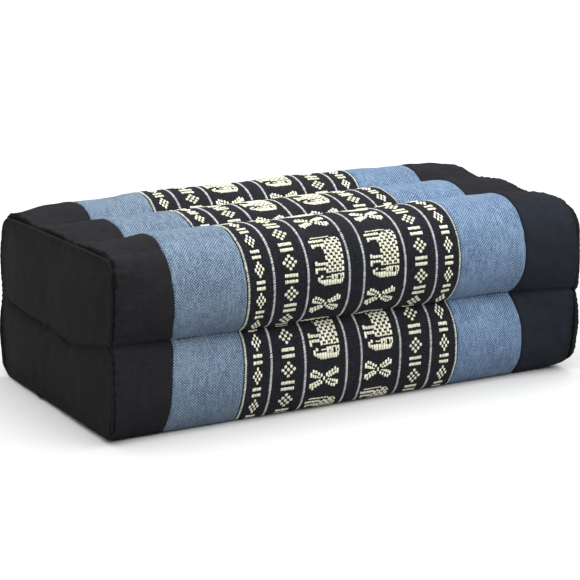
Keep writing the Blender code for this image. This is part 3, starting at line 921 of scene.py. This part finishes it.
def animal_rows():
    rows = []
    animal = dotted(ANIMAL, 2, 22, 9)
    for a, b, low, cross, _, _, repeat, _, stretch, wide, _, lean in channel_list():
        for side in (0, 1):
            x = ANIMAL_X + side * ANIMAL_STEP
            here = []
            for n in range(-3, 4):
                here += chart_runs(animal, x, low + n * repeat, THREAD, PICK * stretch, THREAD * 0.94)
                here += cross_floats(x - 0.4, cross + n * repeat, wide)
            here = [(at + lean * (0.5 * (s0 + s1) - cross), s0, s1, w, slant) for at, s0, s1, w, slant in here]
            rows += kept(here, a, b)
    return rows


def diamond_rows():
    rows = []
    for a, b, _, _, large, small, _, pitch, _, stretch, further, _ in channel_list():
        for side in (-1, 1):
            for name, step, rise, width, bars, bar_w in (("large", 1.98, 1.92, 2.05, 9, 1.04), ("small", 1.32, 2.02, 1.42, 6, 1.05)):
                x = side * 0.5 * sum(BAND_X[name])
                here = []
                for n in range(-8, 9):
                    at = (large if name == "large" else small) + n * pitch + (further if side > 0 else 0.0)
                    here += diamond_floats(x, at, step, rise * stretch, width)
                    for k in (-1, 1):
                        mid = at + pitch / 2 + k * 1.9 * stretch
                        for i in range(bars):
                            here.append((x + (i - 0.5 * (bars - 1)) * bar_w, mid - 1.2, mid + 1.2, bar_w * 0.93, 0.0))
                rows += kept(here, a, b)
    return rows


def line_rows():
    """Twisted pale cords woven between the bands."""
    plain, cream = [], []
    count = int(round(GIRTH / 1.6))
    for x, w, out in [(s * v, 1.95, plain) for s in (-1, 1) for v in (5.6, 36.1, 60.3)] + [(-78.4, 1.4, cream), (78.3, 1.8, cream)]:
        for n in range(count):
            s = n * GIRTH / count
            out.append((x, s, s + 1.62, w, 0.4))
    return plain, cream


# ------------------------------------------------------------------ materials
class Nodes:
    """Short helper for building one material's nodes."""

    def __init__(self, name):
        self.mat = bpy.data.materials.new(name)
        self.mat.use_nodes = True
        self.tree = self.mat.node_tree
        self.bsdf = self.tree.nodes["Principled BSDF"]
        self.bsdf.inputs["Metallic"].default_value = 0.0

    def node(self, kind, **kw):
        n = self.tree.nodes.new(kind)
        for k, v in kw.items():
            setattr(n, k, v)
        return n

    def put(self, socket, value):
        if isinstance(value, bpy.types.NodeSocket):
            self.tree.links.new(value, socket)
        else:
            socket.default_value = value

    def math(self, op, a, b=0.0, c=None, clamp=False):
        n = self.node("ShaderNodeMath", operation=op, use_clamp=clamp)
        self.put(n.inputs[0], a)
        self.put(n.inputs[1], b)
        if c is not None:
            self.put(n.inputs[2], c)
        return n.outputs[0]

    def mix(self, f, a, b, kind="MIX"):
        n = self.node("ShaderNodeMix", data_type="RGBA", blend_type=kind)
        self.put(n.inputs[0], f)
        self.put(n.inputs[6], a)
        self.put(n.inputs[7], b)
        return n.outputs[2]

    def cloth(self):
        a = self.node("ShaderNodeAttribute", attribute_type="GEOMETRY", attribute_name="cloth")
        s = self.node("ShaderNodeSeparateXYZ")
        self.put(s.inputs[0], a.outputs["Vector"])
        return a.outputs["Vector"], s.outputs[0], s.outputs[1], s.outputs[2]

    def vec(self, x, y, z=0.0):
        n = self.node("ShaderNodeCombineXYZ")
        self.put(n.inputs[0], x)
        self.put(n.inputs[1], y)
        self.put(n.inputs[2], z)
        return n.outputs[0]

    def noise(self, vector, scale, detail=2.0, rough=0.5):
        n = self.node("ShaderNodeTexNoise")
        self.put(n.inputs["Vector"], vector)
        n.inputs["Scale"].default_value = scale
        n.inputs["Detail"].default_value = detail
        n.inputs["Roughness"].default_value = rough
        return n.outputs["Fac"]

    def speckle(self, vector):
        n = self.node("ShaderNodeTexWhiteNoise", noise_dimensions="3D")
        self.put(n.inputs["Vector"], vector)
        return n.outputs["Value"]

    def ramp(self, f, lo, hi, to_lo=0.0, to_hi=1.0):
        n = self.node("ShaderNodeMapRange", clamp=True)
        self.put(n.inputs[0], f)
        for i, v in enumerate((lo, hi, to_lo, to_hi)):
            self.put(n.inputs[i + 1], v)
        return n.outputs[0]

    def weave(self, x, s, pitch_x, pitch_s):
        """Plain weave. Gives height 0 to 1, which thread is on top (1 is the thread along the girth), and a thread id vector."""
        a = self.math("DIVIDE", x, pitch_x)
        b = self.math("DIVIDE", s, pitch_s)
        fa, fb = self.math("FRACT", a), self.math("FRACT", b)
        ia, ib = self.math("FLOOR", a), self.math("FLOOR", b)
        odd = self.math("ABSOLUTE", self.math("MODULO", self.math("ADD", ia, ib), 2.0))
        arch_a = self.math("SINE", self.math("MULTIPLY", fa, math.pi))
        arch_b = self.math("SINE", self.math("MULTIPLY", fb, math.pi))
        # the thread on top is round across itself and dips at its ends
        top = self.math("MULTIPLY", self.math("POWER", arch_a, 0.5), self.math("POWER", arch_b, 0.9))
        side = self.math("MULTIPLY", self.math("POWER", arch_b, 0.5), self.math("POWER", arch_a, 0.9))
        h = self.math("ADD", self.math("MULTIPLY", top, odd), self.math("MULTIPLY", side, self.math("SUBTRACT", 1.0, odd)))
        return h, odd, ia, ib

    def bump(self, height, distance, strength=1.0, normal=None):
        n = self.node("ShaderNodeBump")
        n.inputs["Strength"].default_value = strength
        n.inputs["Distance"].default_value = distance
        self.put(n.inputs["Height"], height)
        if normal is not None:
            self.put(n.inputs["Normal"], normal)
        return n.outputs[0]

    def finish(self, color, rough, normal, sheen=0.0, sheen_rough=0.5, specular=0.3):
        b = self.bsdf
        self.put(b.inputs["Base Color"], color)
        self.put(b.inputs["Roughness"], rough)
        if normal is not None:
            self.put(b.inputs["Normal"], normal)
        b.inputs["Sheen Weight"].default_value = sheen
        b.inputs["Sheen Roughness"].default_value = sheen_rough
        b.inputs["Specular IOR Level"].default_value = specular
        return self.mat


def rgb(r, g, b):
    """sRGB 0 to 255 to linear."""
    return tuple((v / 255 / 12.92) if v / 255 <= 0.04045 else ((v / 255 + 0.055) / 1.055) ** 2.4 for v in (r, g, b)) + (1.0,)


def black_cotton(name, tint, patchy):
    m = Nodes(name)
    v, x, s, _ = m.cloth()
    h, odd, ia, ib = m.weave(x, s, 0.46, 0.46)
    slub = m.noise(m.vec(m.math("MULTIPLY", x, 0.05), m.math("MULTIPLY", ib, 0.9)), 1.0, 1.0)
    slub2 = m.noise(m.vec(m.math("MULTIPLY", ia, 0.9), m.math("MULTIPLY", s, 0.05), 5.0), 1.0, 1.0)
    broad = m.noise(v, 0.05, 3.0)
    cloud = m.noise(m.vec(m.math("MULTIPLY", x, 0.7), s, 3.0), 0.30, 4.0, 0.75)
    lint = m.ramp(m.noise(v, 1.6, 1.0), 0.68, 0.80)
    tone = m.math("ADD", m.math("MULTIPLY", slub, 0.5), m.math("MULTIPLY", slub2, 0.5))
    base = m.mix(m.ramp(tone, 0.3, 0.7), rgb(*[c - 6 for c in tint]), rgb(*[c + 5 for c in tint]))
    base = m.mix(m.math("MULTIPLY", m.ramp(broad, 0.35, 0.7), 0.35), base, rgb(*[c + 7 for c in tint]))
    # bluer towards the right end, more on the front and lower side than on the top and back
    bluer = m.math("MULTIPLY", m.ramp(x, 90.0, 120.0, 0.0, 0.75), m.ramp(s, 176.0, 204.0, 1.0, 0.25))
    base = m.mix(bluer, base, rgb(tint[0] + 2, tint[1] + 9, tint[2] + 15))
    base = m.mix(m.math("MULTIPLY", m.ramp(cloud, 0.50, 0.68), patchy), base, rgb(tint[0] + 16, tint[1] + 17, tint[2] + 20))
    base = m.mix(m.math("MULTIPLY", m.ramp(cloud, 0.50, 0.34), patchy), base, rgb(tint[0] - 12, tint[1] - 12, tint[2] - 11))
    base = m.mix(m.math("MULTIPLY", lint, 0.25), base, rgb(76, 76, 80))
    # painted shade along the end seams, in place of the finer tucks that the mesh doesn't have
    seam_shade_x = m.math("ADD", m.math("ABSOLUTE", x), m.math("MULTIPLY", m.math("SUBTRACT", m.noise(v, 0.24, 2.0), 0.5), 7.0))
    base = m.mix(m.math("MULTIPLY", m.ramp(seam_shade_x, SEAM_X - 2.6, SEAM_X - 0.9), 0.9), base, rgb(5, 5, 6))
    # painted shade in the dips between the threads of the weave
    base = m.mix(m.math("MULTIPLY", m.math("SUBTRACT", 1.0, h), 0.5), base, rgb(9, 9, 11))
    height = m.math("ADD", m.math("MULTIPLY", h, 0.8), m.math("MULTIPLY", tone, 0.5))
    n = m.bump(m.noise(v, 0.25, 2.0), 0.0005, 0.6)
    n = m.bump(height, 0.00012, 0.9, n)
    rough = m.ramp(tone, 0.2, 0.8, 0.82, 0.95)
    return m.finish(base, rough, n, 0.0, 0.45, 0.1)


GROOVE_FRONT = float(FINE.s[FINE.groove_at["front"]])
GROOVE_BACK = float(FINE.s[FINE.groove_at["back"]])


def chambray(name, dye):
    """Loose plain weave of a dark blue and a pale thread, dyed a little differently from one length to the next."""
    def shade(r, g, b):
        return tuple(min(1.0, c * k) for c, k in zip(rgb(r, g, b)[:3], dye)) + (1.0,)
    m = Nodes(name)
    v, x, s, _ = m.cloth()
    wx = m.math("ADD", x, m.math("MULTIPLY", m.math("SUBTRACT", m.noise(v, 0.10, 1.0), 0.5), 1.2))
    ws = m.math("ADD", s, m.math("MULTIPLY", m.math("SUBTRACT", m.noise(v, 0.08, 1.0), 0.5), 1.2))
    h, odd, ia, ib = m.weave(wx, ws, 0.96, 0.92)
    slub_a = m.noise(m.vec(m.math("MULTIPLY", ia, 0.83), m.math("MULTIPLY", s, 0.10), 3.0), 1.0, 2.0)
    slub_b = m.noise(m.vec(m.math("MULTIPLY", x, 0.30), m.math("MULTIPLY", ib, 0.83), 9.0), 1.0, 2.0)
    grain = m.noise(v, 1.1, 2.0, 0.7)
    knot = m.speckle(m.vec(ia, ib))
    warp = m.mix(knot, shade(64, 92, 122), shade(8, 28, 54))
    weft = m.mix(knot, shade(128, 148, 170), shade(178, 194, 208))
    base = m.mix(odd, weft, warp)
    base = m.mix(m.math("MULTIPLY", m.ramp(slub_a, 0.52, 0.66), 0.26), base, shade(186, 202, 216))
    base = m.mix(m.math("MULTIPLY", m.ramp(slub_a, 0.48, 0.34), 0.26), base, shade(30, 56, 88))
    base = m.mix(m.math("MULTIPLY", m.ramp(slub_b, 0.50, 0.66), 0.12), base, shade(186, 202, 216))
    base = m.mix(m.math("MULTIPLY", m.ramp(grain, 0.44, 0.64), 0.10), base, shade(164, 180, 198))
    base = m.mix(m.math("MULTIPLY", m.ramp(grain, 0.54, 0.34), 0.12), base, shade(26, 50, 80))
    # painted shade in the dips between the threads of the weave
    base = m.mix(m.math("MULTIPLY", m.math("SUBTRACT", 1.0, h), 0.72), base, shade(16, 36, 60))
    # painted shade on the lower half of each side channel: the picture is darker there than these lights make it
    front, back = GROOVE_FRONT, GROOVE_BACK
    upper = m.math("MULTIPLY", m.ramp(s, front + 12, front + 38, 1.0, 0.0), m.ramp(s, front - 0.5, front + 0.5))
    lower = m.math("MAXIMUM", upper, m.ramp(s, 46, 98, 1.0, 0.0))
    lower = m.math("MAXIMUM", lower, m.math("MULTIPLY", m.ramp(s, back - 38, back - 12), m.ramp(s, back - 0.5, back + 0.5, 1.0, 0.0)))
    lower = m.math("MAXIMUM", lower, m.ramp(s, back + 14, back + 60))
    base = m.mix(m.math("MULTIPLY", lower, 0.22), base, shade(20, 40, 64))
    fade = m.noise(v, 0.035, 3.0)
    base = m.mix(m.math("MULTIPLY", m.ramp(fade, 0.4, 0.7), 0.16), base, shade(140, 164, 176))
    height = m.math("ADD", m.math("MULTIPLY", h, 0.9), m.math("MULTIPLY", m.math("ADD", slub_a, slub_b), 0.45))
    n = m.bump(m.noise(v, 0.3, 2.0), 0.0003, 0.4)
    n = m.bump(height, 0.00022, 0.9, n)
    return m.finish(base, m.ramp(grain, 0.3, 0.7, 0.84, 0.95), n, 0.06, 0.5, 0.2)


def brocade_ground(name):
    m = Nodes(name)
    v, x, s, _ = m.cloth()
    h, odd, ia, ib = m.weave(x, s, 0.62, 0.72)
    slub = m.noise(m.vec(m.math("MULTIPLY", ia, 0.83), m.math("MULTIPLY", s, 0.12)), 1.0, 2.0)
    dyed = m.noise(m.vec(x, m.math("MULTIPLY", s, 0.7)), 0.22, 3.0, 0.65)
    fine = m.speckle(m.vec(ia, ib))
    base = m.mix(m.ramp(slub, 0.32, 0.68), rgb(10, 11, 13), rgb(26, 28, 31))
    base = m.mix(m.math("MULTIPLY", m.ramp(dyed, 0.50, 0.66), 0.55), base, rgb(22, 20, 46))
    base = m.mix(m.math("MULTIPLY", m.ramp(dyed, 0.48, 0.34), 0.6), base, rgb(14, 26, 28))
    base = m.mix(m.math("MULTIPLY", m.ramp(fine, 0.55, 1.0), 0.38), base, rgb(60, 60, 70))
    # painted shade in the dips between the threads of the weave
    base = m.mix(m.math("MULTIPLY", m.math("SUBTRACT", 1.0, h), 0.6), base, rgb(4, 4, 6))
    n = m.bump(m.noise(v, 0.3, 2.0), 0.0003, 0.4)
    n = m.bump(h, 0.00018, 0.9, n)
    return m.finish(base, 0.9, n, 0.02, 0.5, 0.12)


def thread(name, light, dark, deep, strands, rough=0.8):
    """Soft loosely spun cotton thread; its coordinates run across and along each float, with a tone. deep is the
    painted shade at the sides and tips of each float.
    """
    m = Nodes(name)
    v, a, b, tone = m.cloth()
    ply = m.math("SINE", m.math("MULTIPLY", m.math("ADD", a, m.math("MULTIPLY", b, 0.22)), 2 * math.pi * strands))
    fuzz = m.noise(m.vec(m.math("MULTIPLY", a, 3.0), m.math("MULTIPLY", b, 4.0), m.math("MULTIPLY", tone, 40.0)), 1.6, 2.0, 0.7)
    side = m.ramp(m.math("ABSOLUTE", a), 0.26, 0.5)
    tip = m.ramp(m.math("ABSOLUTE", m.math("SUBTRACT", b, 0.5)), 0.36, 0.5)
    base = m.mix(m.ramp(tone, 0.0, 1.0, 0.0, 0.6), light, dark)
    # painted shade toward the sides and tips of each float, and in the grooves between its plies
    base = m.mix(m.math("MULTIPLY", m.math("MAXIMUM", side, tip), 0.6), base, deep)
    base = m.mix(m.math("MULTIPLY", m.ramp(ply, -1.0, 0.2, 1.0, 0.0), 0.3), base, dark)
    base = m.mix(m.math("MULTIPLY", m.ramp(fuzz, 0.35, 0.6, 1.0, 0.0), 0.4), base, dark)
    n = m.bump(m.math("ADD", m.math("MULTIPLY", ply, 0.5), fuzz), 0.00012, 0.9)
    return m.finish(base, rough, n, 0.1, 0.4, 0.25)


def painted(obj, *mats):
    obj.data.materials.clear()
    for mt in mats:
        obj.data.materials.append(mt)


BLACK = black_cotton("black cotton", (28, 27, 30), 0.28)
# a darker copy of the same black cotton for the end panels: painted shade on the ends
BLACK_END_SHADED = black_cotton("black cotton end", (22, 21, 23), 0.22)
BLUE_L = chambray("blue chambray", (0.76, 0.79, 0.82))
BLUE_R = chambray("blue chambray, second length", (0.76, 0.87, 1.01))
GROUND = brocade_ground("brocade ground")
CREAM = thread("cream float", rgb(240, 239, 222), rgb(192, 190, 162), rgb(72, 70, 52), 1.5)
PALE = thread("pale cord", rgb(190, 191, 193), rgb(120, 121, 124), rgb(40, 40, 44), 1.0)
EDGE = thread("cream cord", rgb(198, 202, 192), rgb(146, 150, 140), rgb(78, 80, 74), 1.0)
SEWN = thread("black sewing thread", rgb(14, 14, 17), rgb(8, 8, 9), rgb(5, 5, 6), 2.0)

# ------------------------------------------------------------------ pieces
cushion = block()
painted(cushion, BLACK)
brocade, patch = sleeve("brocade_cloth", -BAND_EDGE, BAND_EDGE, 2.0)
painted(brocade, GROUND)
blue_l, patch_l = sleeve("blue_cloth_left", -BLUE_EDGE, -BAND_EDGE - GAP, 1.6)
painted(blue_l, BLUE_L)
blue_r, patch_r = sleeve("blue_cloth_right", BAND_EDGE + GAP, BLUE_EDGE, 1.6)
painted(blue_r, BLUE_R)
end_l = end_panel("end_cloth_left", -1)
painted(end_l, BLACK_END_SHADED)
end_r = end_panel("end_cloth_right", 1)
painted(end_r, BLACK_END_SHADED)

floats = pads("brocade_animals", patch, animal_rows(), 0.44, seed=7)
painted(floats, CREAM)
diamonds = pads("brocade_diamonds", patch, diamond_rows(), 0.44, seed=17)
painted(diamonds, CREAM)
plain_lines, cream_lines = line_rows()
slim = ((-0.5, -0.12), (-0.2, 0.9), (0.2, 0.9), (0.5, -0.12))
cords = pads("brocade_cords", patch, plain_lines, 0.38, across=slim, seed=8)
painted(cords, PALE)
edges = pads("brocade_edge_cords", patch, cream_lines, 0.42, across=slim, seed=9)
painted(edges, EDGE)


def groove_stitches():
    """Sewing thread along the bottom of each groove, over the whole length."""
    rows = []
    xs = np.linspace(-SEAM_X + 6, SEAM_X - 6, 150)
    P = cover(xs)
    N = normals_of(P)
    pt = (xs, P, N)
    pitch = 4.2
    for k in FINE.groove_at.values():
        s = FINE.s[k]
        for n in range(int((2 * SEAM_X - 16) / pitch)):
            x = -SEAM_X + 9 + n * pitch
            if min(abs(abs(x) - BAND_EDGE), abs(abs(x) - BLUE_EDGE)) > 2.5:
                rows.append((x, s))
    rows = np.array(rows)
    rng = np.random.default_rng(4)
    verts, cloth, faces = [], [], []
    steps = ((-1.5, -0.45), (-1.0, 0.0), (0.0, 0.12), (1.0, 0.0), (1.5, -0.45))
    sides = 6
    F = len(rows)
    V = np.empty((F, len(steps), sides, 3))
    C = np.empty((F, len(steps), sides, 3))
    jit = rng.normal(0, 0.12, F)
    tone = rng.uniform(0, 1, F)
    for i, (dx, h) in enumerate(steps):
        for a in range(sides):
            t = 2 * math.pi * a / sides
            V[:, i, a] = on_patch(pt, rows[:, 0] + dx, rows[:, 1] + jit + 0.26 * math.cos(t), np.full(F, h + 0.26 * math.sin(t)))
            C[:, i, a] = np.stack([np.full(F, a / sides - 0.5), np.full(F, dx / 3.0 + 0.5), tone], 1)
    i = np.arange(len(steps) - 1)[:, None]
    a = np.arange(sides)[None, :]
    b = (a + 1) % sides
    cell = np.stack([i * sides + a, i * sides + b, (i + 1) * sides + b, (i + 1) * sides + a], 2).reshape(-1, 4)
    f = (cell[None] + (np.arange(F) * sides * len(steps))[:, None, None]).reshape(-1, 4)
    return mesh_object("groove_stitches", V.reshape(-1, 3), [f], [C.reshape(-1, 3)[f]])


stitches = groove_stitches()
painted(stitches, SEWN)

# ------------------------------------------------------------------ what each piece is
PIECES = (
    # piece, node it stands for
    (cushion, "cushion_body"),
    (brocade, "brocade_panel"),
    (blue_l, "blue_panel_left"),
    (blue_r, "blue_panel_right"),
    (end_l, "end_panel_left"),
    (end_r, "end_panel_right"),
)
for piece, node in PIECES:
    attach(piece, "root")
    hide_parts(node)
for piece, slot in ((floats, "brocade_panel"), (diamonds, "brocade_panel"), (cords, "brocade_panel"), (edges, "brocade_panel"), (stitches, "cushion_body")):
    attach(piece, "root")

# ------------------------------------------------------------------ floor, light and camera
bm = bmesh.new()
bmesh.ops.create_grid(bm, x_segments=1, y_segments=1, size=12.0)
floor_mesh = bpy.data.meshes.new("floor")
bm.to_mesh(floor_mesh)
bm.free()
floor = bpy.data.objects.new("floor", floor_mesh)
floor.location = (0, 0, -0.0002)
bpy.context.scene.collection.objects.link(floor)
fm = Nodes("pale floor")
painted(floor, fm.finish((0.47, 0.47, 0.47, 1.0), 0.9, None, 0.0, 0.5, 0.0))

world = bpy.data.worlds.new("studio")
bpy.context.scene.world = world
world.use_nodes = True
world.node_tree.nodes["Background"].inputs[0].default_value = (1.0, 1.0, 1.0, 1.0)
world.node_tree.nodes["Background"].inputs[1].default_value = 0.5


sun_data = bpy.data.lights.new("overhead", "SUN")
sun_data.energy = 6.6
sun_data.angle = math.radians(100)
sun = bpy.data.objects.new("overhead", sun_data)
sun.rotation_euler = Vector((-0.05, 0.22, -1.0)).to_track_quat("-Z", "Y").to_euler()
bpy.context.scene.collection.objects.link(sun)

AZ, EL = math.radians(-29.087), math.radians(14.488)
back = Vector((math.sin(AZ) * math.cos(EL), -math.cos(AZ) * math.cos(EL), math.sin(EL)))
right = Vector((0, 0, 1)).cross(back).normalized()
up = back.cross(right)
cam_data = bpy.data.cameras.new("camera")
cam_data.sensor_width = 36.0
cam_data.lens = 36.0 * 2100.0 / 580.0
cam_data.clip_start = 0.05
cam = bpy.data.objects.new("camera", cam_data)
cam.matrix_world = Matrix(((right.x, up.x, back.x, -0.66975), (right.y, up.y, back.y, -1.20392), (right.z, up.z, back.z, 0.41497), (0, 0, 0, 1)))
bpy.context.scene.collection.objects.link(cam)
bpy.context.scene.camera = cam
bpy.context.scene.view_settings.view_transform = "Standard"

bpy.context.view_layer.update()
